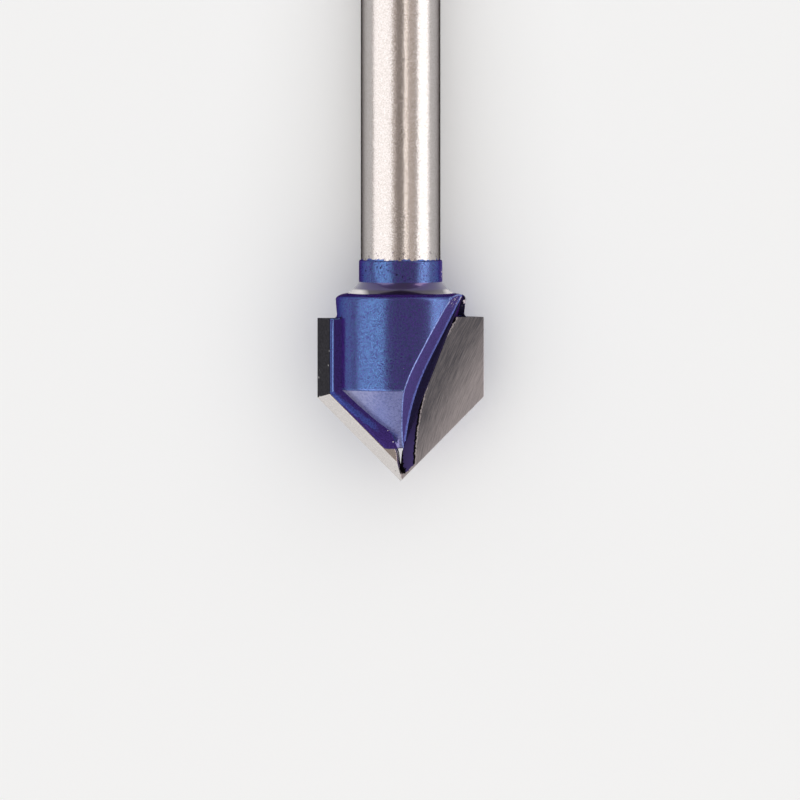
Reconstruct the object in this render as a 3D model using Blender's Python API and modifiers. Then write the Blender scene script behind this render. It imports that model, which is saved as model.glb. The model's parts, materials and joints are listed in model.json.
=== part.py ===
"""V groove router bit with two brazed cutting plates, lying on a flat surface.

The bit is drawn upright, its point at the origin and its shank along +Z, and an
empty then lays it down: it touches the ground with the rim of its head and with
the end of its shank.
"""
import bpy
import bmesh
from math import sin, cos, tan, atan2, pi, radians, sqrt
from mathutils import Matrix, Vector

MM = 0.001

# Shank and collar
SHANK_DIAMETER = 6.0 * MM
OVERALL_LENGTH = 45.0 * MM
SHANK_CHAMFER = 0.5 * MM
COLLAR_OVERSIZE = 0.14 * MM
COLLAR_HEIGHT = 1.65 * MM
COLLAR_CHAMFER = 0.08 * MM

# Turned head
HEAD_DIAMETER = 10.0 * MM
RIM_ABOVE_PLATES = 1.4 * MM
NECK_RADIUS = 0.9 * MM
SHOULDER_DROP = 0.28 * MM
SHOULDER_EDGE = 0.12 * MM
CONE_SETBACK = 2.0 * MM
CORE_END = 2.5 * MM

# Cutting plates
CUT_DIAMETER = 12.7 * MM
CUT_HEIGHT = 12.35 * MM
PLATE_THICKNESS = 1.2 * MM
RAKE_SETBACK = 0.02 * MM
SEAT_CLEARANCE = 0.03 * MM
RELIEF_ANGLE = radians(31.0)
PLATE_FOOT = 2.2 * MM
PLATE_FOOT_OFFSET = 0.17 * MM
PLATE_NOSE = 0.57 * MM
PLATE_NOSE_OVERLAP = 0.05 * MM
PLATE_TOP_WIDTH = 2.23 * MM
PLATE_END_ROUNDING = 0.2 * MM

# Steel lugs behind the plates
LUG_THICKNESS = 0.33 * MM
LUG_INNER = 0.44 * MM
LUG_INNER_TOP = 1.0 * MM
LUG_INNER_RISE = 1.25 * MM
LUG_FILLET = 0.3 * MM

# Flutes
FLUTE_OFFSET = 0.28 * MM
FLUTE_FOOT = 1.0 * MM
FLUTE_EDGE_GAP = 0.25 * MM
FLUTE_BEND = 1.545
FLUTE_WALL_ANGLE = radians(20.0)
NOTCH_DEPTH = 0.65 * MM
RUNOUT_DEPTH = 0.25 * MM
RUNOUT_RISE = 1.1 * MM
RIM_DEPTH = 0.55 * MM

# Rest
TURN_ANGLE = radians(9.0)
TURNS = 60

REACH = 4.0 * MM
ARC_STEPS = 10

shank_radius = SHANK_DIAMETER / 2
collar_radius = shank_radius + COLLAR_OVERSIZE
head_radius = HEAD_DIAMETER / 2
cut_radius = CUT_DIAMETER / 2
rim_height = CUT_HEIGHT + RIM_ABOVE_PLATES
collar_bottom = rim_height + SHOULDER_EDGE + SHOULDER_DROP + NECK_RADIUS
collar_top = collar_bottom + COLLAR_HEIGHT
wall_slope = tan(FLUTE_WALL_ANGLE)
relief_slope = tan(RELIEF_ANGLE)
plate_back = RAKE_SETBACK + PLATE_THICKNESS
seat_depth = plate_back + SEAT_CLEARANCE
plate_top = cut_radius - PLATE_TOP_WIDTH
lug_back = seat_depth + LUG_THICKNESS
cutter_front = -REACH / 8
outside = cut_radius + REACH


def clear_scene():
    for item in list(bpy.data.objects):
        bpy.data.objects.remove(item, do_unlink=True)


def new_collection(name):
    collection = bpy.data.collections.new(name)
    bpy.context.scene.collection.children.link(collection)
    return collection


def add_object(name, mesh, collection):
    item = bpy.data.objects.new(name, mesh)
    collection.objects.link(item)
    item.parent = lay_down
    return item


def new_material(name, colour, roughness, metallic):
    material = bpy.data.materials.new(name)
    material.use_nodes = True
    shader = material.node_tree.nodes["Principled BSDF"]
    shader.inputs["Base Color"].default_value = (*colour, 1.0)
    shader.inputs["Roughness"].default_value = roughness
    shader.inputs["Metallic"].default_value = metallic
    return material


def arc(centre, radius, start, end, steps):
    points = []
    for step in range(steps + 1):
        angle = start + (end - start) * step / steps
        points.append((centre[0] + radius * cos(angle), centre[1] + radius * sin(angle)))
    return points


def turned(name, profile, collection):
    """A solid turned round Z from (radius, height) points, top to bottom.

    One corner of its facets faces the ground, so that the bit lies steadily on it.
    """
    mesh = bpy.data.meshes.new(name)
    mesh.from_pydata([(x, 0.0, z) for x, z in profile],
                     [(i, i + 1) for i in range(len(profile) - 1)], [])
    mesh.transform(Matrix.Rotation(pi / 2 - TURN_ANGLE, 4, "Z"))
    item = add_object(name, mesh, collection)
    screw = item.modifiers.new("Turn", "SCREW")
    screw.axis = "Z"
    screw.angle = 2 * pi
    screw.steps = TURNS
    screw.render_steps = TURNS
    screw.use_merge_vertices = True
    screw.merge_threshold = 0.0000001
    return item


def bridged(name, first, second, collection):
    """A solid between two flat outlines of as many points."""
    mesh = bpy.data.meshes.new(name)
    shape = bmesh.new()
    front = [shape.verts.new(point) for point in first]
    back = [shape.verts.new(point) for point in second]
    shape.faces.new(front)
    shape.faces.new(list(reversed(back)))
    for i in range(len(front)):
        j = (i + 1) % len(front)
        shape.faces.new((front[j], front[i], back[i], back[j]))
    bmesh.ops.recalc_face_normals(shape, faces=shape.faces)
    shape.to_mesh(mesh)
    shape.free()
    return add_object(name, mesh, collection)


def lofted(name, near, near_y, far, far_y, collection):
    """A solid between two (x, z) outlines, at two depths."""
    return bridged(name, [(x, near_y, z) for x, z in near], [(x, far_y, z) for x, z in far],
                   collection)


def half_turn(item):
    """The same shape for the second cutting edge, half a turn further round."""
    item.data.transform(Matrix.Rotation(pi, 4, "Z"))
    return item


def combine(item, operation, other):
    boolean = item.modifiers.new(other.name, "BOOLEAN")
    boolean.operation = operation
    boolean.solver = "EXACT"
    boolean.object = other


def plate_edge(height):
    """How far the inner edge of a plate lies from the axis."""
    slope = (plate_top - PLATE_FOOT_OFFSET) / (CUT_HEIGHT - PLATE_FOOT)
    return PLATE_FOOT_OFFSET + slope * (height - PLATE_FOOT)


def flute_wall(top):
    """The corner between flute wall and flute floor: upright at the foot, an arc, then straight."""
    rise = CUT_HEIGHT - FLUTE_FOOT
    reach = plate_top - FLUTE_EDGE_GAP - FLUTE_OFFSET
    angle = FLUTE_BEND * atan2(reach, rise)
    arc_rise = (rise * tan(angle) - reach) / (tan(angle) - tan(angle / 2))
    radius = arc_rise / sin(angle)
    points = arc((FLUTE_OFFSET + radius, FLUTE_FOOT), radius, pi, pi - angle, ARC_STEPS)
    last_x, last_z = points[-1]
    points.append((last_x + (top - last_z) * tan(angle), top))
    return points


def shifted(outline, offset):
    return [(x + offset, z) for x, z in outline]


def head_profile():
    profile = [(0.0, OVERALL_LENGTH),
               (shank_radius - SHANK_CHAMFER, OVERALL_LENGTH),
               (shank_radius, OVERALL_LENGTH - SHANK_CHAMFER),
               (shank_radius, collar_top),
               (collar_radius - COLLAR_CHAMFER, collar_top),
               (collar_radius, collar_top - COLLAR_CHAMFER)]
    profile += arc((collar_radius + NECK_RADIUS, collar_bottom), NECK_RADIUS, pi, 1.5 * pi, 8)
    profile += [(head_radius - SHOULDER_EDGE, rim_height + SHOULDER_EDGE)]
    profile += [(head_radius, rim_height),
                (head_radius, head_radius + CONE_SETBACK),
                (CORE_END - CONE_SETBACK, CORE_END),
                (0.0, CORE_END)]
    return profile


def lug_profile():
    """The full turned width below the step, before the lugs are milled from it."""
    profile = [(0.0, CUT_HEIGHT + LUG_FILLET)]
    profile += arc((head_radius + LUG_FILLET, CUT_HEIGHT + LUG_FILLET), LUG_FILLET,
                   pi, 1.5 * pi, 4)
    profile += [(outside, CUT_HEIGHT), (outside, CORE_END), (0.0, CORE_END)]
    return profile


def make_lug(name, flip):
    """The steel behind one plate, cut from the full turned width."""
    lug = turned(name, lug_profile(), cutters)
    near = [(LUG_INNER, CORE_END - REACH), (outside, CORE_END - REACH),
            (outside, collar_bottom), (LUG_INNER_TOP, collar_bottom),
            (LUG_INNER_TOP, CORE_END + LUG_INNER_RISE), (LUG_INNER, CORE_END)]
    slab = lofted(name + "Slab", near, cutter_front / 2, near, lug_back, cutters)
    if flip:
        half_turn(slab)
    combine(lug, "INTERSECT", slab)
    return lug


def make_flute(name):
    """The milled gullet: a floor through the axis and a leaning wall."""
    near = flute_wall(collar_bottom + REACH / 2)
    near += [(outside, near[-1][1]), (outside, near[0][1])]
    reach = head_radius + REACH
    far = shifted(near, -reach * wall_slope)
    return lofted(name, near, 0.0, far, -reach, cutters)


def make_seat(name):
    """The slot milled for a plate, with its shallow run-out above the plate."""
    bottom, end = CORE_END - REACH / 4, CUT_HEIGHT + SEAT_CLEARANCE
    section = [(cutter_front, bottom), (seat_depth, bottom), (seat_depth, end), (NOTCH_DEPTH, end),
               (RUNOUT_DEPTH, end + RUNOUT_RISE), (RIM_DEPTH, collar_bottom),
               (cutter_front, collar_bottom)]
    inner = [(plate_edge(z) + y * wall_slope - SEAT_CLEARANCE, y, z) for y, z in section]
    outer = [(outside, y, z) for y, z in section]
    return bridged(name, inner, outer, cutters)


def make_side_relief(name):
    rear = lug_back + REACH / 8

    def outline(depth):
        edge = cut_radius - (depth - RAKE_SETBACK) * relief_slope
        return [(edge, cut_radius / 2), (outside + REACH, cut_radius / 2),
                (outside + REACH, collar_bottom), (edge, collar_bottom)]

    return lofted(name, outline(cutter_front), cutter_front, outline(rear), rear, cutters)


def make_nose_relief(name):
    rear = lug_back + REACH / 8
    left, right = -REACH, outside + REACH

    def outline(depth):
        rise = (depth - RAKE_SETBACK) * relief_slope * sqrt(2)
        return [(left, left + rise), (left, -2 * REACH), (right, -2 * REACH), (right, right + rise)]

    return lofted(name, outline(cutter_front), cutter_front, outline(rear), rear, cutters)


def make_plate(name):
    """A plate blank, whose inner edge crosses the axis a little near the point."""
    slope = (PLATE_FOOT_OFFSET + PLATE_NOSE_OVERLAP) / (PLATE_FOOT - PLATE_NOSE)
    tip = (slope * PLATE_NOSE + PLATE_NOSE_OVERLAP) / (1 + slope)
    near = [(0.0, 0.0), (-tip, tip), (PLATE_FOOT_OFFSET, PLATE_FOOT),
            (plate_edge(CUT_HEIGHT), CUT_HEIGHT), (outside, CUT_HEIGHT), (outside, 0.0)]
    far = shifted(near, PLATE_THICKNESS * wall_slope)
    return lofted(name, near, RAKE_SETBACK, far, plate_back, bit)


def round_plate_end(plate):
    """The long edges of the plate's upper end are rounded."""
    shape = bmesh.new()
    shape.from_mesh(plate.data)
    edges = [edge for edge in shape.edges
             if all(vert.co.z > CUT_HEIGHT - MM / 1000 for vert in edge.verts)
             and abs(edge.verts[0].co.y - edge.verts[1].co.y) < MM / 1000]
    bmesh.ops.bevel(shape, geom=edges, offset=PLATE_END_ROUNDING, offset_type="OFFSET",
                    segments=3, profile=0.5, affect="EDGES")
    shape.to_mesh(plate.data)
    shape.free()


clear_scene()
bit = new_collection("Router bit")
cutters = new_collection("Cutters")
lay_down = bpy.data.objects.new("LayDown", None)
bit.objects.link(lay_down)

head = turned("Body", head_profile(), bit)
reliefs = []
for letter, flip in (("A", False), ("B", True)):
    combine(head, "UNION", make_lug("Lug" + letter, flip))
for letter, flip in (("A", False), ("B", True)):
    for build, label in ((make_flute, "Flute"), (make_seat, "Seat"),
                         (make_side_relief, "SideRelief"), (make_nose_relief, "NoseRelief")):
        cutter = build(label + letter)
        if flip:
            half_turn(cutter)
        combine(head, "DIFFERENCE", cutter)
        if build in (make_side_relief, make_nose_relief):
            reliefs.append((flip, cutter))

plates = []
for letter, flip in (("A", False), ("B", True)):
    plate = make_plate("Plate" + letter)
    round_plate_end(plate)
    if flip:
        half_turn(plate)
    for side, cutter in reliefs:
        if side == flip:
            combine(plate, "DIFFERENCE", cutter)
    plates.append(plate)

steel = new_material("PaintedSteel", (0.06, 0.07, 0.30), 0.35, 0.6)
carbide = new_material("Carbide", (0.16, 0.16, 0.17), 0.35, 1.0)
head.data.materials.append(steel)
for plate in plates:
    plate.data.materials.append(carbide)
for item in cutters.objects:
    item.hide_render = True
    item.display_type = "WIRE"

tilt = atan2(head_radius - shank_radius, OVERALL_LENGTH - SHANK_CHAMFER - rim_height)
lift = rim_height * sin(tilt) + head_radius * cos(tilt)
length_on_ground = OVERALL_LENGTH * cos(tilt) + (shank_radius - SHANK_CHAMFER) * sin(tilt)
lay_down.matrix_world = (Matrix.Translation(Vector((0.0, -length_on_ground / 2, lift)))
                         @ Matrix.Rotation(-(pi / 2 + tilt), 4, "X")
                         @ Matrix.Rotation(TURN_ANGLE, 4, "Z"))
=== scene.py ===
# Looks of a v groove router bit: ground shank, blue painted head, ground carbide plates.
import json
import bpy
from math import asin, atan2, cos, pi, radians, sin, sqrt, tan
from mathutils import Matrix, Vector


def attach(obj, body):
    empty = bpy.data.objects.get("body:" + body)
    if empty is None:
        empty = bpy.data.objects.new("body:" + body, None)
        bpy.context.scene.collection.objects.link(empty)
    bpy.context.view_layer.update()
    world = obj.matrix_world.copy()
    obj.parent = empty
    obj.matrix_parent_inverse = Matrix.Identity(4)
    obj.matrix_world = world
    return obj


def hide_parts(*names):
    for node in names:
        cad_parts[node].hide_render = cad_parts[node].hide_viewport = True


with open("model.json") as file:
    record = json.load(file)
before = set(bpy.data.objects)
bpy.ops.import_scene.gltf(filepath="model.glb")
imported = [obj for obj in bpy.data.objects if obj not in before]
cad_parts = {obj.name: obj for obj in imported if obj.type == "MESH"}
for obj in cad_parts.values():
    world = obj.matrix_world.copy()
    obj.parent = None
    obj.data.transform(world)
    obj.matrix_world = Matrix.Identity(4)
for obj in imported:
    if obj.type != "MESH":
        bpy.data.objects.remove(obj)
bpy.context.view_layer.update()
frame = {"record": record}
mm = 0.001

# Where the bit lies: the record gives the middle of its shank end and its axis
shankEnd = frame["record"]["mounts"][0]
bit = {
    "length": 45.0 * mm,          # point to shank end
    "turn": radians(9.0),         # how far it is turned about its axis
    "cutRadius": 6.35 * mm,
    "cutHeight": 12.35 * mm,      # point to the upper ends of the plates
    "edgeRounding": 0.08 * mm,
}
axisWay = Vector(shankEnd["axis"])
bitTilt = atan2(-axisWay.z, axisWay.y)
bitPoint = Vector(shankEnd["pos_m"]) - axisWay * bit["length"]
bitPlace = (Matrix.Translation(bitPoint) @ Matrix.Rotation(-(pi / 2 + bitTilt), 4, "X")
            @ Matrix.Rotation(bit["turn"], 4, "Z"))
halfTurn = Matrix.Rotation(pi, 4, "Z")
reach = 4.0 * mm                  # how far a cutter runs past what it cuts
outside = bit["cutRadius"] + reach


# Modelling helpers, all in the bit's own frame: point at the origin, shank along +Z

def startFresh():
    if bpy.context.object and bpy.context.object.mode != "OBJECT":
        bpy.ops.object.mode_set(mode="OBJECT")
    bpy.ops.object.select_all(action="DESELECT")


def pickOnly(piece):
    startFresh()
    piece.select_set(True)
    bpy.context.view_layer.objects.active = piece


def turnedPiece(name, profile, sides):
    # rings of (radius, height), extruded one after another
    startFresh()
    radius, height = profile[0]
    bpy.ops.mesh.primitive_circle_add(vertices=sides, radius=radius, fill_type="NGON",
                                      location=(0, 0, height))
    piece = bpy.context.object
    piece.name = piece.data.name = name
    bpy.ops.object.transform_apply(location=True, rotation=True, scale=True)
    bpy.ops.object.mode_set(mode="EDIT")
    bpy.ops.mesh.select_all(action="SELECT")
    for nextRadius, nextHeight in profile[1:]:
        bpy.ops.mesh.extrude_region_move(
            TRANSFORM_OT_translate={"value": (0, 0, nextHeight - height)})
        share = nextRadius / radius
        bpy.ops.transform.resize(value=(share, share, 1))
        radius, height = nextRadius, nextHeight
    bpy.ops.mesh.select_all(action="SELECT")
    bpy.ops.mesh.normals_make_consistent(inside=False)
    bpy.ops.object.mode_set(mode="OBJECT")
    return piece


def drawnBlock(name, outline, frontDepth, way):
    # an (x, z) outline drawn corner by corner, filled, and pulled along way
    startFresh()
    bpy.ops.mesh.primitive_plane_add(size=mm)
    piece = bpy.context.object
    piece.name = piece.data.name = name
    bpy.ops.object.mode_set(mode="EDIT")
    bpy.ops.mesh.select_all(action="SELECT")
    bpy.ops.mesh.merge(type="CENTER")
    corner = Vector((outline[0][0], frontDepth, outline[0][1]))
    bpy.ops.transform.translate(value=corner)
    for x, z in outline[1:]:
        following = Vector((x, frontDepth, z))
        bpy.ops.mesh.extrude_vertices_move(TRANSFORM_OT_translate={"value": following - corner})
        corner = following
    bpy.ops.mesh.select_all(action="SELECT")
    bpy.ops.mesh.edge_face_add()
    bpy.ops.mesh.extrude_region_move(TRANSFORM_OT_translate={"value": way})
    bpy.ops.mesh.select_all(action="SELECT")
    bpy.ops.mesh.normals_make_consistent(inside=False)
    bpy.ops.object.mode_set(mode="OBJECT")
    return piece


def cutBlock(name, low, high, planes):
    # a box with one slice taken off outside each plane, given as (point, outward way)
    startFresh()
    low, high = Vector(low), Vector(high)
    bpy.ops.mesh.primitive_cube_add(size=1, location=(low + high) / 2, scale=high - low)
    piece = bpy.context.object
    piece.name = piece.data.name = name
    bpy.ops.object.transform_apply(location=True, rotation=True, scale=True)
    bpy.ops.object.mode_set(mode="EDIT")
    for point, way in planes:
        bpy.ops.mesh.select_all(action="SELECT")
        bpy.ops.mesh.bisect(plane_co=point, plane_no=way, use_fill=True, clear_outer=True)
    bpy.ops.mesh.select_all(action="SELECT")
    bpy.ops.mesh.normals_make_consistent(inside=False)
    bpy.ops.object.mode_set(mode="OBJECT")
    return piece


def join(piece, operation, other):
    # applies one boolean and removes the tool
    pickOnly(piece)
    boolean = piece.modifiers.new(other.name, "BOOLEAN")
    boolean.operation, boolean.solver, boolean.object = operation, "EXACT", other
    bpy.ops.object.modifier_apply(modifier=boolean.name)
    mesh = other.data
    bpy.data.objects.remove(other)
    bpy.data.meshes.remove(mesh)


def turnRound(piece, flip):
    if flip:
        piece.data.transform(halfTurn)
    return piece


def layDown(piece):
    piece.data.transform(bitPlace)
    piece.data.update()
    return piece


def markOutwardEdges(piece, angle):
    # only edges that stick out get rounded: the inner corners stay sharp
    mesh = piece.data
    weights = mesh.attributes.new("bevel_weight_edge", "FLOAT", "EDGE").data
    firstSide = {}
    for face in mesh.polygons:
        for corner in face.loop_indices:
            loop = mesh.loops[corner]
            if loop.edge_index not in firstSide:
                firstSide[loop.edge_index] = (face.normal, loop.vertex_index)
                continue
            normal, start = firstSide[loop.edge_index]
            ends = mesh.edges[loop.edge_index].vertices
            along = (mesh.vertices[ends[0] + ends[1] - start].co - mesh.vertices[start].co)
            outward = normal.cross(face.normal).dot(along) > 0
            if outward and normal.angle(face.normal, 0) > angle:
                weights[loop.edge_index].value = 1.0


def roundEdges(piece, width, segments=2, angle=radians(25), roundedSlot=-1):
    # the last argument is the material slot of the rounded edges themselves
    pickOnly(piece)
    bpy.ops.object.mode_set(mode="EDIT")
    bpy.ops.mesh.select_all(action="SELECT")
    bpy.ops.mesh.remove_doubles(threshold=0.002 * mm)
    bpy.ops.mesh.dissolve_degenerate(threshold=0.002 * mm)
    bpy.ops.object.mode_set(mode="OBJECT")
    markOutwardEdges(piece, angle)
    bevel = piece.modifiers.new("Edges", "BEVEL")
    bevel.width, bevel.segments = width, segments
    bevel.limit_method = "WEIGHT"
    bevel.use_clamp_overlap = False
    bevel.miter_outer = "MITER_ARC"
    bevel.material = roundedSlot
    bpy.ops.object.modifier_apply(modifier=bevel.name)
    bpy.ops.object.shade_smooth_by_angle(angle=radians(40))
    weigh = piece.modifiers.new("Normals", "WEIGHTED_NORMAL")
    weigh.keep_sharp = True
    bpy.ops.object.modifier_apply(modifier=weigh.name)


def arcPoints(centre, radius, start, end, steps):
    return [(centre[0] + radius * cos(start + (end - start) * i / steps),
             centre[1] + radius * sin(start + (end - start) * i / steps))
            for i in range(steps + 1)]


# Materials

def newMaterial(name):
    material = bpy.data.materials.new(name)
    material.use_nodes = True
    return material, material.node_tree, material.node_tree.nodes["Principled BSDF"]


def feed(tree, value, socket):
    # a link, or a plain number, colour or vector
    if isinstance(value, bpy.types.NodeSocket):
        tree.links.new(value, socket)
    else:
        socket.default_value = value


def bitCoordinates(tree):
    # Object coordinates turned into the bit's own frame
    coordinates = tree.nodes.new("ShaderNodeTexCoord")
    turned = tree.nodes.new("ShaderNodeMapping")
    turned.vector_type = "TEXTURE"
    turned.inputs["Location"].default_value = bitPlace.to_translation()
    turned.inputs["Rotation"].default_value = bitPlace.to_euler("XYZ")
    tree.links.new(coordinates.outputs["Object"], turned.inputs["Vector"])
    return turned.outputs["Vector"]


def calculate(tree, operation, *values, clamp=False):
    node = tree.nodes.new("ShaderNodeMath")
    node.operation, node.use_clamp = operation, clamp
    for value, socket in zip(values, node.inputs):
        feed(tree, value, socket)
    return node.outputs[0]


def vectorWork(tree, operation, *values):
    node = tree.nodes.new("ShaderNodeVectorMath")
    node.operation = operation
    for value, socket in zip(values, node.inputs):
        feed(tree, value, socket)
    return node.outputs["Vector"]


def scaleVector(tree, vector, share):
    node = tree.nodes.new("ShaderNodeVectorMath")
    node.operation = "SCALE"
    feed(tree, vector, node.inputs[0])
    feed(tree, share, node.inputs["Scale"])
    return node.outputs["Vector"]


def ramp(tree, value, low, high, fromValue=0.0, toValue=1.0):
    node = tree.nodes.new("ShaderNodeMapRange")
    for key, number in (("From Min", low), ("From Max", high), ("To Min", fromValue),
                        ("To Max", toValue)):
        node.inputs[key].default_value = number
    feed(tree, value, node.inputs["Value"])
    return node.outputs["Result"]


def blend(tree, share, first, second):
    node = tree.nodes.new("ShaderNodeMix")
    node.data_type = "RGBA"
    feed(tree, share, node.inputs["Factor"])
    for value, socket in ((first, node.inputs[6]), (second, node.inputs[7])):
        feed(tree, value if isinstance(value, bpy.types.NodeSocket) else (*value, 1.0), socket)
    return node.outputs[2]


def blendNumber(tree, share, first, second):
    node = tree.nodes.new("ShaderNodeMix")
    feed(tree, share, node.inputs["Factor"])
    feed(tree, first, node.inputs["A"])
    feed(tree, second, node.inputs["B"])
    return node.outputs["Result"]


def noise(tree, where, perMm, detail=2.0, roughness=0.5):
    node = tree.nodes.new("ShaderNodeTexNoise")
    node.inputs["Scale"].default_value = perMm / mm
    node.inputs["Detail"].default_value = detail
    node.inputs["Roughness"].default_value = roughness
    tree.links.new(where, node.inputs["Vector"])
    return node.outputs["Fac"]


def cells(tree, where, perMm):
    # each small cell has a colour of its own, as flakes or grains
    node = tree.nodes.new("ShaderNodeTexVoronoi")
    node.inputs["Scale"].default_value = perMm / mm
    tree.links.new(where, node.inputs["Vector"])
    return node.outputs["Color"]


def parts(tree, vector):
    node = tree.nodes.new("ShaderNodeSeparateXYZ")
    tree.links.new(vector, node.inputs[0])
    return node.outputs


def tiltNormal(tree, way, amount):
    # leans the surface by a cell's own colour, so that each cell catches the light by itself
    geometry = tree.nodes.new("ShaderNodeNewGeometry")
    lean = scaleVector(tree, vectorWork(tree, "SUBTRACT", way, (0.5, 0.5, 0.5)), amount)
    return vectorWork(tree, "NORMALIZE",
                      vectorWork(tree, "ADD", geometry.outputs["Normal"], lean))


# lengths in the looks are in mm, and heights are above the point
paintLook = {
    "violet": (0.055, 0.015, 0.168),  # the paint itself
    "flake": (0.084, 0.19, 0.40),     # metal flakes in it
    "flakeShare": 0.5,
    "flakesPerMm": 66.0,
    "flakeLean": 0.08,                # how far a flake leans
    "roughness": 0.25,
    "tonesPerMm": 9.5,                # light and dark spots of the paint
    "pits": (0.012, 0.008, 0.030),    # dark pits in the collar
    "pitsPerMm": 4.4,
    "collarFrom": 15.1,
    "neck": (0.046, 0.036, 0.138),    # on the neck the paint is thin and glossy over the steel
    "ledgeShading": (0.035, 0.022, 0.060),   # painted shade: the ledge at the foot of the neck is dark as shade, with bright bare metal at its flanks as a painted highlight
    "ledgeFlankHighlight": (0.90, 0.87, 0.86),
    "ledgeTop": 14.50,
    "ledgeWidth": 2.95,
    "neckMetal": 0.85,
    "neckRoughness": (0.28, 0.08),    # of the metal, and of the coat over it
    # painted reflection: the cone is painted pale as the reflection of the floor, and paler still
    # far from the axis as painted light
    "cone": (0.27, 0.31, 0.62),
    "paleConeReflection": (0.44, 0.46, 0.70),
    "wall": (0.085, 0.068, 0.27),     # on the flute wall, lighter than the paint as painted light in the shaded flute
    "floor": (0.020, 0.017, 0.050),   # dark strip along the flute floor
    "runout": (0.012, 0.010, 0.026),  # above the seat of a plate, near-black as painted shade
    "edge": (0.13, 0.20, 0.48),       # painted highlights on rounded edges
    "fluteEdge": (0.27, 0.38, 0.80),  # painted highlight, brighter, along the flute wall
    "fluteFoot": (0.17, 0.25, 0.75),  # and a painted highlight where the wall meets the floor
    "fluteTop": 13.1,                 # above this height the flute gets painted glints
    "lug": (0.045, 0.028, 0.160),     # painted shade behind the nose of a plate
    "lugLitStripe": (0.050, 0.070, 0.290),  # a painted lit stripe across it
    "lugEnds": (5.3, 1.7),            # the nose's outer and inner ends, out from the axis
    "lugDark": (0.98, 1.80),          # how wide the painted shade is at those ends
    "glint": (0.75, 0.78, 0.85),      # near-white painted glints at the top of the flute, in rare specks and on the lug
    "glintsPerMm": 8.0,
    "glintShare": 0.0002,
}
steelLook = {
    "light": (0.56, 0.53, 0.53),
    "dark": (0.43, 0.40, 0.38),
    "roughness": 0.23,
    "grainsPerMm": 12.0,
    "grainLean": 0.06,
    "paintLine": 16.76,               # where the ragged edge of the paint runs
    "lineRaggedness": 0.75,
    "drops": (0.20, 0.17, 0.20),      # small drops of paint above it
    "dropsPerMm": 4.5,
    "dropsReach": 1.3,
}


def flakes(tree, where):
    # a share of the small cells is metal flake, and the share changes from place to place
    chance = parts(tree, cells(tree, where, paintLook["flakesPerMm"]))[0]
    clouds = ramp(tree, noise(tree, where, 1.3, 2.0), 0.3, 0.7, -0.03, 0.03)
    specks = ramp(tree, noise(tree, where, 10.0, 1.0), 0.3, 0.7, -0.12, 0.12)
    share = calculate(tree, "ADD", calculate(tree, "ADD", chance, clouds), specks)
    edge = 1 - paintLook["flakeShare"]
    return ramp(tree, share, edge - 0.03, edge + 0.03)


def violetCoat(tree, where):
    # the paint under the flakes is a little thicker here and thinner there
    tone = ramp(tree, noise(tree, where, paintLook["tonesPerMm"], 1.0), 0.3, 0.7, 0.55, 1.45)
    return scaleVector(tree, paintLook["violet"], tone)


def dots(tree, where, perMm, share):
    # a few of the cells, as dust or pinholes
    chance = parts(tree, cells(tree, where, perMm))[1]
    return ramp(tree, chance, 1 - share, 1 - share * 0.6)


def flakeNormal(tree, where):
    return tiltNormal(tree, cells(tree, where, paintLook["flakesPerMm"]),
                      paintLook["flakeLean"])


def noGloss(shader):
    # all the shine is in the flakes, and it fades towards the outline
    shader.inputs["IOR"].default_value = 1.0
    shader.inputs["Specular Tint"].default_value = (0, 0, 0, 1)


def bluePaint():
    material, tree, shader = newMaterial("bluePaint")
    where = bitCoordinates(tree)
    height = calculate(tree, "DIVIDE", parts(tree, where)[2], mm)
    pits = ramp(tree, noise(tree, where, paintLook["pitsPerMm"], 2.0), 0.64, 0.69)
    pits = calculate(tree, "MULTIPLY", pits, ramp(tree, height, paintLook["collarFrom"],
                                                  paintLook["collarFrom"] + 0.1))
    metal = calculate(tree, "MULTIPLY", flakes(tree, where),
                      calculate(tree, "SUBTRACT", 1.0, pits))
    body = blend(tree, pits, violetCoat(tree, where), paintLook["pits"])
    colour = blend(tree, metal, body, paintLook["flake"])
    # rare near-white specks as painted glints
    glints = dots(tree, where, paintLook["glintsPerMm"], paintLook["glintShare"])
    feed(tree, blend(tree, glints, colour, paintLook["glint"]), shader.inputs["Base Color"])
    feed(tree, blendNumber(tree, glints, metal, 0.3), shader.inputs["Metallic"])
    feed(tree, flakeNormal(tree, where), shader.inputs["Normal"])
    shader.inputs["Roughness"].default_value = paintLook["roughness"]
    noGloss(shader)
    return material


def neckPaint():
    material, tree, shader = newMaterial("neckPaint")
    where = bitCoordinates(tree)
    across, _, height = parts(tree, where)
    height = calculate(tree, "DIVIDE", height, mm)
    across = calculate(tree, "DIVIDE", calculate(tree, "ABSOLUTE", across), mm)
    # painted shade and highlight: below ledgeTop the neck's foot is dark as its shade, and bright
    # metal at its two flanks stands in for a highlight
    top, width = paintLook["ledgeTop"], paintLook["ledgeWidth"]
    ledgeShading = blend(tree, ramp(tree, across, width - 0.15, width + 0.35),
                  paintLook["ledgeShading"], paintLook["ledgeFlankHighlight"])
    colour = blend(tree, ramp(tree, noise(tree, where, 6.0, 3.0), 0.35, 0.7, 0.0, 0.35),
                   paintLook["neck"], paintLook["violet"])
    feed(tree, blend(tree, ramp(tree, height, top + 0.06, top - 0.06), colour, ledgeShading),
         shader.inputs["Base Color"])
    shader.inputs["Metallic"].default_value = paintLook["neckMetal"]
    shader.inputs["Roughness"].default_value = paintLook["neckRoughness"][0]
    shader.inputs["Coat Weight"].default_value = 1.0
    shader.inputs["Coat IOR"].default_value = 1.5
    shader.inputs["Coat Roughness"].default_value = paintLook["neckRoughness"][1]
    return material


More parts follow.
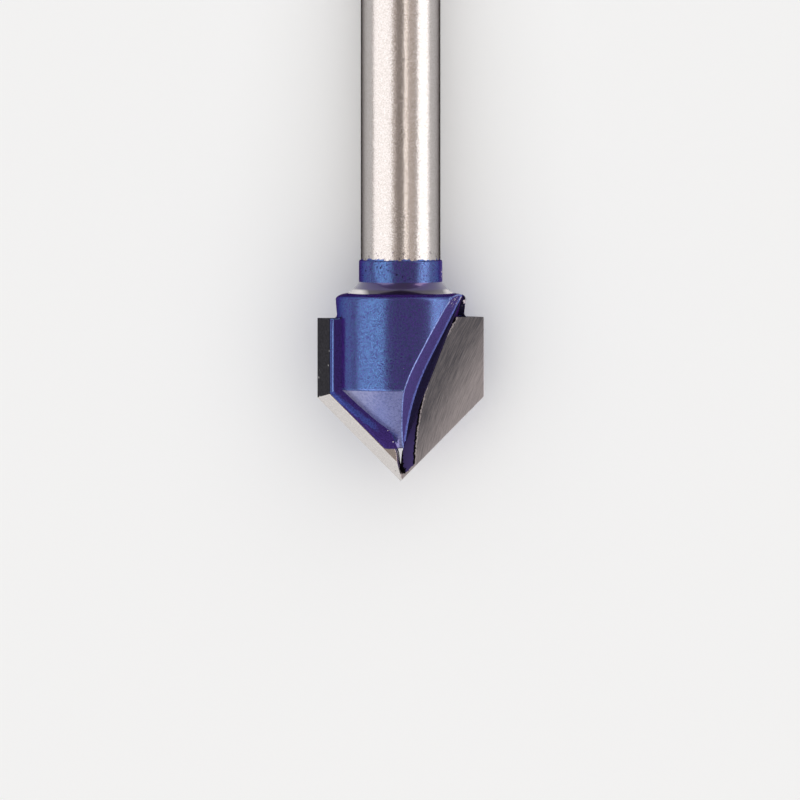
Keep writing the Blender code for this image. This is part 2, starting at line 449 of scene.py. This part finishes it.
def paintedFace(name, colour, metallic, least, outer=None, foot=None, topGlints=False):
    # paint of another tone on some faces: least is the smallest share of it in the speckle,
    # outer its tone far from the axis, foot its tone along the flute floor, and the last flag
    # adds near-white painted glints at the top of the flute
    material, tree, shader = newMaterial(name)
    where = bitCoordinates(tree)
    metal = flakes(tree, where)
    plain = blend(tree, metal, violetCoat(tree, where), paintLook["flake"])
    share = ramp(tree, noise(tree, where, 6.0, 3.0), 0.35, 0.6, least, 1.0)
    if outer:
        across = calculate(tree, "ABSOLUTE", parts(tree, where)[0])
        colour = blend(tree, ramp(tree, across, 2.0 * mm, 4.2 * mm), colour, outer)
    if foot:
        deep = calculate(tree, "ADD", calculate(tree, "ABSOLUTE", parts(tree, where)[1]), ramp(
            tree, noise(tree, where, 4.0, 3.0), 0.3, 0.7, -0.2 * mm, 0.2 * mm))
        colour = blend(tree, ramp(tree, deep, 0.85 * mm, 0.65 * mm), colour, foot)
    # painted glints: near-white spots at the top of the flute
    if topGlints:
        glinting = calculate(tree, "MULTIPLY", ramp(tree, noise(tree, where, 3.0, 1.0), 0.63, 0.69),
                            ramp(tree, parts(tree, where)[2], paintLook["fluteTop"] * mm,
                                 (paintLook["fluteTop"] + 0.2) * mm))
        colour = blend(tree, glinting, colour, paintLook["glint"])
    feed(tree, blend(tree, share, plain, colour), shader.inputs["Base Color"])
    feed(tree, blendNumber(tree, share, metal, metallic), shader.inputs["Metallic"])
    feed(tree, flakeNormal(tree, where), shader.inputs["Normal"])
    shader.inputs["Roughness"].default_value = paintLook["roughness"]
    noGloss(shader)
    return material


def lugShadingPaint():
    # painted shading behind the nose: painted shade that widens towards the point, then a painted
    # lit stripe, then a dark line of painted shade, and painted glints near the axis
    material, tree, shader = newMaterial("lugShadingPaint")
    where = bitCoordinates(tree)
    across, _, height = parts(tree, where)
    across = calculate(tree, "DIVIDE", calculate(tree, "ABSOLUTE", across), mm)
    behind = calculate(tree, "SUBTRACT", calculate(tree, "DIVIDE", height, mm), across)
    behind = calculate(tree, "ADD", behind,
                       ramp(tree, noise(tree, where, 2.5, 3.0), 0.3, 0.7, -0.09, 0.09))
    inside = calculate(tree, "SUBTRACT", behind, ramp(tree, across, *paintLook["lugEnds"],
                                                      *paintLook["lugDark"]))
    band = calculate(tree, "MULTIPLY", ramp(tree, inside, -0.10, 0.06),
                     ramp(tree, inside, 0.62, 0.40))
    band = calculate(tree, "MULTIPLY", band, ramp(tree, across, 1.8, 2.5))
    metal = flakes(tree, where)
    tone = ramp(tree, noise(tree, where, paintLook["tonesPerMm"], 1.0), 0.3, 0.7, 0.6, 1.4)
    colour = scaleVector(tree, blend(tree, band, paintLook["lug"], paintLook["lugLitStripe"]), tone)
    glints = ramp(tree, noise(tree, where, 4.5, 2.0), 0.70, 0.72)
    glints = calculate(tree, "MULTIPLY", glints, ramp(tree, across, 1.6, 1.5))
    feed(tree, blend(tree, glints, colour, paintLook["glint"]), shader.inputs["Base Color"])
    feed(tree, calculate(tree, "MULTIPLY", metal, 0.3), shader.inputs["Metallic"])
    feed(tree, flakeNormal(tree, where), shader.inputs["Normal"])
    shader.inputs["Roughness"].default_value = paintLook["roughness"]
    noGloss(shader)
    return material


def groundSteel():
    material, tree, shader = newMaterial("groundSteel")
    where = bitCoordinates(tree)
    height = calculate(tree, "DIVIDE", parts(tree, where)[2], mm)
    grains = noise(tree, where, steelLook["grainsPerMm"])
    bare = blend(tree, ramp(tree, grains, 0.35, 0.65), steelLook["dark"], steelLook["light"])
    ragged = calculate(tree, "MULTIPLY_ADD", noise(tree, where, 2.6, 4.0, 0.6),
                       steelLook["lineRaggedness"],
                       steelLook["paintLine"] - steelLook["lineRaggedness"] / 2)
    above = calculate(tree, "SUBTRACT", height, ragged)
    painted = ramp(tree, above, 0.02, -0.02)
    drops = ramp(tree, noise(tree, where, steelLook["dropsPerMm"], 2.0), 0.62, 0.68)
    drops = calculate(tree, "MULTIPLY", drops, ramp(tree, above, steelLook["dropsReach"], 0.1))
    bare = blend(tree, drops, bare, steelLook["drops"])
    metal = flakes(tree, where)
    coat = blend(tree, metal, violetCoat(tree, where), paintLook["flake"])
    feed(tree, blend(tree, painted, bare, coat), shader.inputs["Base Color"])
    feed(tree, blendNumber(tree, painted, 1.0, metal), shader.inputs["Metallic"])
    feed(tree, tiltNormal(tree, cells(tree, where, steelLook["grainsPerMm"]),
                          steelLook["grainLean"]), shader.inputs["Normal"])
    shader.inputs["Roughness"].default_value = steelLook["roughness"]
    noGloss(shader)
    return material


carbideLook = {
    "dark": (0.20, 0.215, 0.25),
    "light": (0.70, 0.71, 0.76),
    "shade": (0.455, 0.415, -0.24),   # painted light: lightness at the point, per mm outwards and upwards
    "roughness": 0.34,
    # the same ground carbide as painted shade and painted reflection: near-black on the side
    # relief, light on the nose relief
    "sideRelief": (0.031, 0.030, 0.036),
    "noseRelief": (0.69, 0.66, 0.645),
    "noseTop": 6.62,                  # above it, the nose's tone ends
    "groundArc": (22.7, 1.0, 21.6),   # centre x, centre height and radius of the ground edge
    "raggedness": 0.16,
    "groundEdge": 0.07,               # painted highlight: a bright line inside the ground edge
    "seamWidth": 0.16,                # black line outside it
    "seam": (0.004, 0.004, 0.006),
    "paint": (0.030, 0.025, 0.070),
    "lowPaint": (0.070, 0.058, 0.200),
    "paintEnd": 0.56,                 # the paint stops short of the point
    "bareNose": 0.23,                 # and of the nose
    "innerSeam": 0.20,                # black line along the inner edge near the point
    "strokeCentre": (40.0, -7.0),     # the grinding marks curve round this point
    "strokesPerMm": 14.0,
    "dust": (0.40, 0.40, 0.41),       # a few specks on the side relief
    "dustPerMm": 8.0,
    "dustShare": 0.008,
}


def distanceFrom(tree, across, height, centreX, centreZ):
    squares = [calculate(tree, "POWER", calculate(tree, "SUBTRACT", value, middle), 2.0)
               for value, middle in ((across, centreX), (height, centreZ))]
    return calculate(tree, "SQRT", calculate(tree, "ADD", *squares))


def groundCarbide():
    # rake face: ground marks over painted light, a painted highlight inside the ground edge, and
    # dark paint left along the inner edge
    material, tree, shader = newMaterial("groundCarbide")
    where = bitCoordinates(tree)
    across, _, height = parts(tree, where)
    across = calculate(tree, "DIVIDE", calculate(tree, "ABSOLUTE", across), mm)
    height = calculate(tree, "DIVIDE", height, mm)

    strokes = tree.nodes.new("ShaderNodeCombineXYZ")
    feed(tree, distanceFrom(tree, across, height, *carbideLook["strokeCentre"]),
         strokes.inputs[0])
    feed(tree, calculate(tree, "MULTIPLY", height, 0.05), strokes.inputs[1])
    marks = noise(tree, strokes.outputs["Vector"], carbideLook["strokesPerMm"] * mm, 5.0, 0.75)
    # painted light: lighter outwards and towards the point
    level, outwards, upwards = carbideLook["shade"]
    level = calculate(tree, "MULTIPLY_ADD", across, outwards, level)
    level = calculate(tree, "MULTIPLY_ADD", height, upwards, level)
    level = ramp(tree, level, 0.0, 1.0, 0.12, 0.88)
    shade = calculate(tree, "ADD", ramp(tree, marks, 0.3, 0.7, -0.38, 0.38), level, clamp=True)
    ground = blend(tree, shade, carbideLook["dark"], carbideLook["light"])

    centreX, centreZ, radius = carbideLook["groundArc"]
    ragged = calculate(tree, "MULTIPLY_ADD", noise(tree, where, 3.5, 4.0, 0.65),
                       carbideLook["raggedness"] * 2, radius - carbideLook["raggedness"])
    past = calculate(tree, "SUBTRACT", distanceFrom(tree, across, height, centreX, centreZ),
                     ragged)
    rough = ramp(tree, noise(tree, where, 7.0, 3.0), 0.3, 0.7, -0.08, 0.08)
    # painted highlight: a bright line inside the ground edge
    ground = blend(tree, ramp(tree, calculate(tree, "ADD", past, rough),
                              -carbideLook["groundEdge"] - 0.03, -carbideLook["groundEdge"]),
                   ground, carbideLook["light"])
    covered = ramp(tree, calculate(tree, "ADD", past, rough),
                   carbideLook["seamWidth"] - 0.03, carbideLook["seamWidth"] + 0.03)
    inner = ramp(tree, calculate(tree, "ADD", across, rough),
                 carbideLook["innerSeam"] - 0.02, carbideLook["innerSeam"] + 0.02)
    inner = calculate(tree, "MAXIMUM", inner, ramp(tree, height, 2.4, 2.5))
    covered = calculate(tree, "MULTIPLY", covered, inner)
    lowSeam = calculate(tree, "MAXIMUM", ramp(tree, calculate(tree, "ADD", height, rough),
                                              carbideLook["paintEnd"] + 0.4,
                                              carbideLook["paintEnd"] + 0.5),
                        ramp(tree, calculate(tree, "ADD", across, rough), 0.38, 0.44))
    covered = calculate(tree, "MULTIPLY", covered, lowSeam)
    coat = blend(tree, ramp(tree, calculate(tree, "ADD", height, rough), 5.5, 2.5),
                 carbideLook["paint"], carbideLook["lowPaint"])
    coat = blend(tree, covered, carbideLook["seam"], coat)
    painted = calculate(tree, "MULTIPLY", ramp(tree, past, -0.015, 0.015), ramp(
        tree, calculate(tree, "ADD", height, rough),
        carbideLook["paintEnd"] - 0.02, carbideLook["paintEnd"] + 0.02))
    fromNose = calculate(tree, "ADD", calculate(tree, "SUBTRACT", height, across), rough)
    painted = calculate(tree, "MULTIPLY", painted, ramp(
        tree, fromNose, carbideLook["bareNose"] - 0.02, carbideLook["bareNose"] + 0.02))
    feed(tree, blend(tree, painted, ground, coat), shader.inputs["Base Color"])
    feed(tree, blendNumber(tree, painted, 1.0, 0.4), shader.inputs["Metallic"])
    shader.inputs["Roughness"].default_value = carbideLook["roughness"]
    noGloss(shader)
    return material


def reliefCarbide(name, colour, roughness, seam=False):
    # the seam is a dark line down the inner wall, near the point: painted shadow in the gap beside
    # the plate
    material, tree, shader = newMaterial(name)
    where = bitCoordinates(tree)
    uneven = 0.12 if seam else 0.40
    grains = ramp(tree, noise(tree, where, 8.0, 3.0), 0.3, 0.7, 1 - uneven, 1 + uneven)
    tone = scaleVector(tree, colour, grains)
    if not seam:
        specks = dots(tree, where, carbideLook["dustPerMm"], carbideLook["dustShare"])
        tone = blend(tree, specks, tone, carbideLook["dust"])
    else:
        across, deep, height = parts(tree, where)
        rough = ramp(tree, noise(tree, where, 5.0, 3.0), 0.3, 0.7, -0.07 * mm, 0.07 * mm)
        near = [ramp(tree, calculate(tree, "ADD", calculate(tree, "ABSOLUTE", value), rough),
                     limit + 0.02 * mm, limit - 0.02 * mm)
                for value, limit in ((across, 0.45 * mm), (deep, 0.42 * mm))]
        above = ramp(tree, height, 0.7 * mm, 0.8 * mm)
        dark = calculate(tree, "MULTIPLY", calculate(tree, "MULTIPLY", *near), above)
        tone = blend(tree, dark, tone, carbideLook["seam"])
        top = carbideLook["noseTop"]
        tone = blend(tree, ramp(tree, height, top * mm, (top + 0.06) * mm), tone,
                     carbideLook["sideRelief"])
    feed(tree, tone, shader.inputs["Base Color"])
    shader.inputs["Metallic"].default_value = 1.0
    shader.inputs["Roughness"].default_value = roughness
    return material


paint, steel, carbide = bluePaint(), groundSteel(), groundCarbide()
# painted shade and painted reflection: the side relief is made near-black and the nose relief
# light, from the same ground carbide
shadedSideCarbide = reliefCarbide("shadedSideRelief", carbideLook["sideRelief"], 0.35)
noseLightAndShadowCarbide = reliefCarbide("noseReliefLightAndShadow", carbideLook["noseRelief"], 0.25, seam=True)
# painted reflection: the cone is painted pale, paler far from the axis
coneReflectionPaint = paintedFace("coneReflectionPaint", paintLook["cone"], 0.6, 0.55, paintLook["paleConeReflection"])
# painted light: lighter paint on the flute wall, with a painted highlight at its foot and painted
# glints at its top
litWallPaint = paintedFace("litWallPaint", paintLook["wall"], 0.3, 0.35, foot=paintLook["fluteFoot"],
                        topGlints=True)
floorPaint = paintedFace("flutePaint", paintLook["floor"], 0.3, 0.9)
# painted shade: near-black above the seat of a plate, with painted glints
runoutShadePaint = paintedFace("runoutShadePaint", paintLook["runout"], 0.3, 0.9, topGlints=True)
# painted highlight: lighter blue on the rounded edges of the lugs
edgeHighlightPaint = paintedFace("edgeHighlight", paintLook["edge"], 0.8, 0.5)
# painted highlight along the edges of the flute wall
fluteEdgeHighlightPaint = paintedFace("fluteEdgeHighlight", paintLook["fluteEdge"], 0.35, 0.35)
print("materials made")


def finishPiece(piece, materials, slot, *nodes):
    for material in materials:
        piece.data.materials.append(material)
    layDown(piece)
    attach(piece, "root")
    if nodes:
        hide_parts(*nodes)


# The turned head: collar, neck, cylinder and cone, with its flutes, seats and lugs

head = {
    "sides": 180,
    "radius": 5.0 * mm,
    "collarRadius": 3.14 * mm,
    "collarHeight": 1.65 * mm,
    "collarChamfer": 0.08 * mm,
    "neckFlare": 0.86 * mm,           # how far the neck's arc goes out and down
    "neckRadius": 2.2 * mm,           # radius of that arc
    "rimAbovePlates": 1.48 * mm,
    "shoulderDrop": 0.18 * mm,
    "shoulderEdge": (0.1 * mm, 0.18 * mm),  # inwards and upwards
    "coneSetback": 2.0 * mm,          # the cone lies this much above the cutting edges' cone
    "coreEnd": 2.5 * mm,              # the core is cut off at this height
}
plate = {
    "thickness": 1.2 * mm,
    "setback": 0.02 * mm,             # of the rake face behind the axis
    "relief": tan(radians(31.0)),
    "foot": 2.2 * mm,                 # height of the bend in the inner edge
    "footOffset": 0.1 * mm,           # of that bend from the axis
    "nose": 0.57 * mm,                # height where the inner edge has crossed the axis
    "noseOverlap": 0.08 * mm,         # by this much
    "topWidth": 2.23 * mm,
    "clearance": 0.03 * mm,           # between a plate and its seat
}
lug = {"thickness": 0.33 * mm, "inner": 0.44 * mm, "innerTop": 1.0 * mm, "innerRise": 1.25 * mm,
       "fillet": 0.3 * mm, "noseSlope": 1.25}
flute = {"offset": 0.28 * mm, "foot": 1.0 * mm, "edgeGap": 0.25 * mm, "bend": 1.545,
         "lean": tan(radians(20.0)), "notchDepth": 0.65 * mm, "runoutDepth": 0.25 * mm,
         "runoutRise": 1.1 * mm, "rimDepth": 0.55 * mm, "steps": 40}

rimHeight = bit["cutHeight"] + head["rimAbovePlates"]
collarBottom = rimHeight + head["shoulderEdge"][1] + head["shoulderDrop"] + head["neckFlare"]
collarTop = collarBottom + head["collarHeight"]
plateTop = bit["cutRadius"] - plate["topWidth"]
plateBack = plate["setback"] + plate["thickness"]
seatDepth = plateBack + plate["clearance"]
lugBack = seatDepth + lug["thickness"]
cutterFront = -reach / 8
edgeSlope = (plateTop - plate["footOffset"]) / (bit["cutHeight"] - plate["foot"])


def headProfile():
    profile = [(head["coreEnd"] - head["coneSetback"], head["coreEnd"]),
               (head["radius"], head["radius"] + head["coneSetback"]),
               (head["radius"], rimHeight),
               (head["radius"] - head["shoulderEdge"][0], rimHeight + head["shoulderEdge"][1])]
    halfAngle = asin(head["neckFlare"] / sqrt(2) / head["neckRadius"])
    away = head["neckFlare"] / 2 + head["neckRadius"] * cos(halfAngle) / sqrt(2)
    profile += arcPoints((head["collarRadius"] + away, collarBottom - head["neckFlare"] + away),
                         head["neckRadius"], 1.25 * pi + halfAngle, 1.25 * pi - halfAngle, 12)
    profile += [(head["collarRadius"], collarTop - head["collarChamfer"]),
                (head["collarRadius"] - head["collarChamfer"], collarTop)]
    return profile


def makeLug(name):
    disc = turnedPiece(name, [(head["radius"], bit["cutHeight"] + lug["fillet"])] + [
        point for point in arcPoints((head["radius"] + lug["fillet"],
                                      bit["cutHeight"] + lug["fillet"]),
                                     lug["fillet"], pi, 1.5 * pi, 6)[1:]]
        + [(outside, bit["cutHeight"]), (outside, head["coreEnd"])], head["sides"])
    outline = [(lug["inner"], head["coreEnd"] - reach), (outside * 1.2, head["coreEnd"] - reach),
               (outside * 1.2, collarBottom), (lug["innerTop"], collarBottom),
               (lug["innerTop"], head["coreEnd"] + lug["innerRise"]),
               (lug["inner"], head["coreEnd"])]
    slab = drawnBlock(name + "Slab", outline, cutterFront / 2,
                      (0, lugBack - cutterFront / 2, 0))
    join(disc, "INTERSECT", slab)
    return disc


def fluteOutline(top):
    rise = bit["cutHeight"] - flute["foot"]
    run = plateTop - flute["edgeGap"] - flute["offset"]
    angle = flute["bend"] * atan2(run, rise)
    arcRise = (rise * tan(angle) - run) / (tan(angle) - tan(angle / 2))
    radius = arcRise / sin(angle)
    points = arcPoints((flute["offset"] + radius, flute["foot"]), radius, pi, pi - angle,
                       flute["steps"])
    x, z = points[-1]
    points.append((x + (top - z) * tan(angle), top))
    return points + [(outside, top), (outside, flute["foot"])]


def makeFlute(name):
    return drawnBlock(name, fluteOutline(collarBottom + reach / 2), 0,
                      (-(head["radius"] + reach) * flute["lean"], -(head["radius"] + reach), 0))


def innerPlane(offset):
    # the leaning wall that a plate's inner edge lies against
    point = (plate["footOffset"] + offset, 0, plate["foot"])
    return point, (-1, flute["lean"], edgeSlope)


def makeSeat(name):
    end = bit["cutHeight"] + plate["clearance"]
    return cutBlock(name, (-reach, cutterFront, head["coreEnd"] - reach / 4),
                    (outside, seatDepth, end), [innerPlane(-plate["clearance"])])


def makeRunout(name, lowHeight, lowDepth, highHeight, highDepth):
    slope = (highDepth - lowDepth) / (highHeight - lowHeight)
    return cutBlock(name, (-reach, cutterFront, lowHeight - reach / 40),
                    (outside, 2 * reach, highHeight),
                    [innerPlane(-plate["clearance"]),
                     ((0, lowDepth, lowHeight), (0, 1, -slope))])


def makeLugChamfer(name):
    # the steel behind a plate is ground back along its nose
    way = (-1, -lug["noseSlope"] * sqrt(2), 1)
    start = (0, plateBack, plate["relief"] * sqrt(2) * plate["thickness"])
    return cutBlock(name, (-reach, plateBack, -2 * reach),
                    (outside + reach, lugBack + reach / 8, outside + 2 * reach), [(start, way)])


def makeSideRelief(name):
    return cutBlock(name, (0, cutterFront, bit["cutRadius"] / 2),
                    (outside + reach, lugBack + reach / 8, collarBottom),
                    [((bit["cutRadius"], plate["setback"], 0), (-1, -plate["relief"], 0))])


def makeNoseRelief(name):
    return cutBlock(name, (-reach, cutterFront, -2 * reach),
                    (outside + reach, lugBack + reach / 8, outside + 2 * reach),
                    [((0, plate["setback"], 0), (-1, -plate["relief"] * sqrt(2), 1))])


def wallAt(height):
    # how far out the flute wall stands at this height, along the floor of the flute
    outline = fluteOutline(collarBottom + reach / 2)[:-2]
    for (x, z), (nextX, nextZ) in zip(outline, outline[1:]):
        if height <= nextZ:
            return x + (nextX - x) * max(height - z, 0) / (nextZ - z)
    return outline[-1][0]


def seatAt(height):
    return plate["footOffset"] - plate["clearance"] + edgeSlope * (height - plate["foot"])


def trueNormals(piece):
    # the turned faces shade as the true cylinder and cone, not as flats beside rounded edges
    mesh = piece.data
    normals = [corner.vector.copy() for corner in mesh.corner_normals]
    for face in mesh.polygons:
        radius = face.center.xy.length
        onCone = abs(radius + head["coneSetback"] - face.center.z) < 0.05 * mm
        onCylinder = abs(radius - head["radius"]) < 0.02 * mm
        if not (onCone or onCylinder):
            continue
        for corner in face.loop_indices:
            place = mesh.vertices[mesh.loops[corner].vertex_index].co
            way = Vector((place.x, place.y, -place.xy.length if onCone else 0)).normalized()
            if way.dot(face.normal) > 0.995:
                normals[corner] = way
    mesh.normals_split_custom_set(normals)


def finishOf(face, rounded):
    # which of the head's finishes a face gets, by its place and the way that it looks
    middle, out = face.center, face.normal
    across, deep = abs(middle.x), abs(middle.y)
    coneTop = head["radius"] + head["coneSetback"]
    fromCone = abs(middle.xy.length + head["coneSetback"] - middle.z)
    onLug = deep > plateBack and middle.x * middle.y > 0
    if rounded:
        fromWall = (middle.x - flute["lean"] * middle.y) * (-1 if middle.y > 0 else 1)
        if deep < 0.12 * mm and abs(across - seatAt(middle.z)) < 0.12 * mm:
            return "floor"
        if abs(fromWall - wallAt(middle.z)) < 0.13 * mm:
            return "fluteEdge"
        if onLug and coneTop < middle.z < bit["cutHeight"]:
            return "edge"
    if (onLug and middle.z < coneTop and fromCone >= 0.1 * mm
            and plateBack * plate["relief"] < middle.z - across):
        return "lug"
    if -0.75 < out.z < -0.65 and fromCone < 0.2 * mm:
        return "cone"
    if abs(out.y) > 0.999 and deep < 0.05 * mm:
        return "floor"
    if collarBottom - head["neckFlare"] < middle.z < collarBottom:
        return "neck"
    if middle.z > bit["cutHeight"] and abs(out.y) > 0.8 and deep < lugBack:
        return "runout"
    if out.x * middle.y < 0 and abs(abs(out.y / out.x) - flute["lean"]) < 0.12:
        return "wall"
    return "paint"


def makeHead(finishes):
    piece = turnedPiece("paintedHead", headProfile(), head["sides"])
    for flip in (False, True):
        join(piece, "UNION", turnRound(makeLug("lug"), flip))
    end = bit["cutHeight"] + plate["clearance"]
    for flip in (False, True):
        for tool in (makeFlute("flute"), makeSeat("seat"),
                     makeRunout("notch", end, flute["notchDepth"], end + flute["runoutRise"],
                                flute["runoutDepth"]),
                     makeRunout("rimRunout", end + flute["runoutRise"], flute["runoutDepth"],
                                collarBottom, flute["rimDepth"]),
                     makeSideRelief("sideRelief"), makeNoseRelief("noseRelief"),
                     makeLugChamfer("lugChamfer")):
            join(piece, "DIFFERENCE", turnRound(tool, flip))
    for material in finishes.values():
        piece.data.materials.append(material)
    slots = {name: slot for slot, name in enumerate(finishes)}
    roundEdges(piece, bit["edgeRounding"], roundedSlot=slots["edge"])
    trueNormals(piece)
    for face in piece.data.polygons:
        rounded = face.material_index == slots["edge"]
        face.material_index = slots[finishOf(face, rounded)]
    return piece


paintedHead = makeHead({"paint": paint, "cone": coneReflectionPaint, "floor": floorPaint,
                        "edge": edgeHighlightPaint, "neck": neckPaint(), "wall": litWallPaint,
                        "runout": runoutShadePaint, "fluteEdge": fluteEdgeHighlightPaint, "lug": lugShadingPaint()})
finishPiece(paintedHead, [], "PaintedSteel", "Body")
print("painted head:", len(paintedHead.data.polygons), "faces")


# The plain ground shank

shank = {"sides": 256, "radius": 3.0 * mm, "chamfer": 0.5 * mm, "insideCollar": 0.6 * mm}


def makeShank():
    piece = turnedPiece("groundShank",
                        [(shank["radius"], collarTop - shank["insideCollar"]),
                         (shank["radius"], bit["length"] - shank["chamfer"]),
                         (shank["radius"] - shank["chamfer"], bit["length"])], shank["sides"])
    roundEdges(piece, bit["edgeRounding"])
    return piece


groundShank = makeShank()
finishPiece(groundShank, [steel], "PaintedSteel", "Body")
print("shank:", len(groundShank.data.polygons), "faces")


# The two carbide plates

def makePlate(name, flip):
    noseSlope = ((plate["footOffset"] + plate["noseOverlap"]) / (plate["foot"] - plate["nose"]))
    front = plate["setback"]
    piece = cutBlock(name, (-reach, front, -reach), (outside, plateBack, bit["cutHeight"]), [
        ((plate["footOffset"], front, plate["foot"]), (-1, flute["lean"], edgeSlope)),
        ((plate["footOffset"], front, plate["foot"]), (-1, flute["lean"], noseSlope)),
        ((0, front, 0), (-1, flute["lean"], -1)),
        ((bit["cutRadius"], front, 0), (1, plate["relief"], 0)),
        ((0, front, 0), (1, plate["relief"] * sqrt(2), -1))])
    roundEdges(piece, bit["edgeRounding"] * 0.25)
    sideWay = Vector((1, plate["relief"], 0)).normalized()
    noseWay = Vector((1, plate["relief"] * sqrt(2), -1)).normalized()
    for face in piece.data.polygons:
        if face.normal.dot(sideWay) > 0.9:
            face.material_index = 1
        elif face.normal.dot(noseWay) > 0.95 or face.normal.x < -0.5 or face.normal.y > 0.9:
            face.material_index = 2
    return turnRound(piece, flip)


plates = [makePlate("groundPlateA", False), makePlate("groundPlateB", True)]
for made, node in zip(plates, ("PlateA", "PlateB")):
    finishPiece(made, [carbide, shadedSideCarbide, noseLightAndShadowCarbide], "Carbide", node)
print("plates made")


# Floor, lights and camera

studio = {
    "floorSize": 1.6,
    "floorColour": (0.93, 0.945, 0.955),
    "underFloorSize": 4.0,
    "underFloor": 40.0 * mm,          # how far the backdrop lies under the floor
    "background": (0.880, 0.876, 0.868),
    "ambient": (0.35, 0.30, 0.27),
    "lampDistance": 1.3,
    "lampLength": 4.2,
}
view = {
    "pictureSize": 800,
    "pixelsPerMm": 13.28,
    "pointAt": (400.6, 481.3),        # where the bit's point is in the picture
    "raise": radians(2.0),            # how far the camera is raised from square to the axis
    "distance": 0.4,
}


def makeFloor():
    startFresh()
    bpy.ops.mesh.primitive_plane_add(size=studio["floorSize"])
    floor = bpy.context.object
    floor.name = "floor"
    material, tree, shader = newMaterial("paleFloor")
    shader.inputs["Base Color"].default_value = (*studio["floorColour"], 1)
    shader.inputs["Roughness"].default_value = 0.9
    floor.data.materials.append(material)
    return floor


def makeUnderFloor():
    # a pale backdrop for views so low that they begin under the floor
    startFresh()
    bpy.ops.mesh.primitive_plane_add(size=studio["underFloorSize"],
                                     location=(0, 0, -studio["underFloor"]))
    sheet = bpy.context.object
    sheet.name = "underFloor"
    material, tree, shader = newMaterial("paleBackdrop")
    rays = tree.nodes.new("ShaderNodeLightPath")
    seen = calculate(tree, "ADD", rays.outputs["Is Camera Ray"], rays.outputs["Is Glossy Ray"])
    seen = calculate(tree, "ADD", seen, rays.outputs["Is Transmission Ray"], clamp=True)
    shader.inputs["Base Color"].default_value = (0, 0, 0, 1)
    shader.inputs["Specular IOR Level"].default_value = 0.0
    shader.inputs["Emission Color"].default_value = (*studio["background"], 1)
    feed(tree, seen, shader.inputs["Emission Strength"])
    sheet.data.materials.append(material)


def stripLamp(name, lit, fromAngle, toAngle, radiance, colour):
    # a long lamp that fills the angles from overhead towards +X between the two given, and
    # lights only the collection lit
    ends = [Vector((sin(radians(a)), 0, cos(radians(a)))) * studio["lampDistance"]
            for a in (fromAngle, toAngle)]
    middle = (ends[0] + ends[1]) / 2
    lamp = bpy.data.lights.new(name, "AREA")
    lamp.shape = "RECTANGLE"
    lamp.size = (ends[0] - ends[1]).length
    lamp.size_y = studio["lampLength"]
    lamp.energy = radiance * pi * lamp.size * lamp.size_y
    lamp.color = colour
    item = bpy.data.objects.new(name, lamp)
    bpy.context.scene.collection.objects.link(item)
    item.matrix_world = (Matrix.Translation(middle + bitPoint)
                         @ Matrix.Rotation(atan2(middle.x, middle.z), 4, "Y"))
    item.visible_camera = False
    item.light_linking.receiver_collection = lit


def makeRoom():
    world = bpy.data.worlds.new("studioRoom")
    bpy.context.scene.world = world
    world.use_nodes = True
    world.node_tree.nodes["Background"].inputs["Color"].default_value = (*studio["ambient"], 1)


def makeCamera():
    camera = bpy.data.objects.new("camera", bpy.data.cameras.new("camera"))
    bpy.context.scene.collection.objects.link(camera)
    camera.data.type = "ORTHO"
    camera.data.ortho_scale = view["pictureSize"] / view["pixelsPerMm"] * mm
    lean = bitTilt + view["raise"]
    back, up = Vector((0, sin(lean), cos(lean))), Vector((0, cos(lean), -sin(lean)))
    middle = view["pictureSize"] / 2
    right = (middle - view["pointAt"][0]) / view["pixelsPerMm"] * mm
    above = (view["pointAt"][1] - middle) / view["pixelsPerMm"] * mm
    camera.matrix_world = (Matrix.Translation(bitPoint + Vector((right, 0, 0)) + up * above
                                              + back * view["distance"])
                           @ Matrix.Rotation(-lean, 4, "X"))
    bpy.context.scene.camera = camera


headLit, shankLit, floorLit = (bpy.data.collections.new(name)
                               for name in ("headLit", "shankLit", "floorLit"))
for piece in (paintedHead, *plates):
    headLit.objects.link(piece)
shankLit.objects.link(groundShank)
floorLit.objects.link(makeFloor())
makeUnderFloor()
white, warm = (1.0, 1.0, 1.0), (1.0, 0.89, 0.80)
for lampName, lit, fromAngle, toAngle, radiance, colour in (  # angles in degrees from overhead
        ("leftLamp", headLit, -25, -79, 1.65, white),
        ("rightLamp", headLit, 57, 89, 3.0, (1.0, 0.78, 0.78)),
        ("shankLeftLamp", shankLit, -24, -86, 1.65, white),
        ("shankRightLamp", shankLit, 50, 89, 2.1, white),
        ("thinLamp", shankLit, 12, 18, 2.9, (1.0, 0.95, 0.89)),
        ("dimLamp", shankLit, 19, 44, 0.42, warm),
        ("sideLamp", shankLit, -14, -23, 0.5, warm),
        ("floorLamp", floorLit, -60, 60, 0.77, (0.934, 0.978, 1.0))):
    stripLamp(lampName, lit, fromAngle, toAngle, radiance, colour)
makeRoom()
makeCamera()
bpy.context.scene.view_settings.view_transform = "Standard"
print("studio made")
